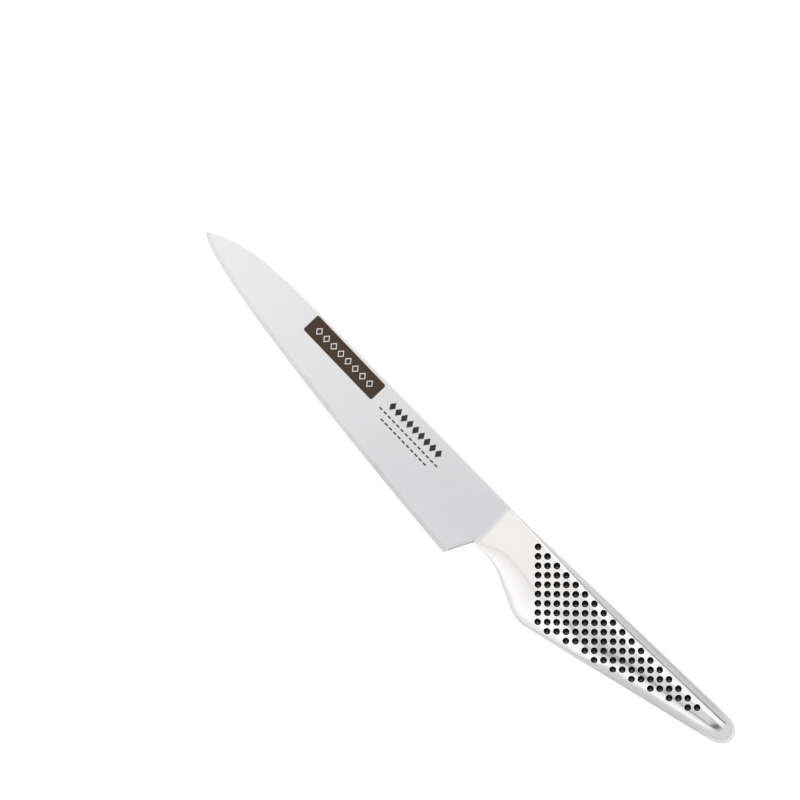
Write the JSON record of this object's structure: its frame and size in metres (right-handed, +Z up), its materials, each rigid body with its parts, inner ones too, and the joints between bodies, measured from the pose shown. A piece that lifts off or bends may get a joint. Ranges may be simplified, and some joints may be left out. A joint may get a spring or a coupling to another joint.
{
  "type": "flexible kitchen knife",
  "caption": "All-steel kitchen knife with a thin flexible blade and a hollow welded handle covered in black dimples.",
  "frame": {"origin": "middle of the knife's box in X and Y, on the surface that its side lies on (Z = 0)", "axes": "+X from the tip to the butt, +Y from the edge to the spine, +Z up, out of the left side of the blade; the blade's middle plane is at Z = 6.5 mm"},
  "size_m": [0.2754, 0.033, 0.013],
  "materials": {
    "blade_steel": "fine satin brushed along the blade",
    "handle_steel": "polished satin",
    "weld_steel": "ground flush, satin",
    "neck_steel": "ground flush, satin",
    "sand": "loose dry grains",
    "black_enamel": "glossy black enamel",
    "label_film": "smooth film"
  },
  "bodies": {
    "root": {"blade": "blade_steel", "handle_shell_left": "handle_steel", "handle_shell_right": "handle_steel", "seam_weld": "weld_steel", "neck_weld": "neck_steel", "balance_sand": "sand", "dimple_enamel_left": "black_enamel", "dimple_enamel_right": "black_enamel", "blade_label": "label_film"}
  },
  "joints": []
}
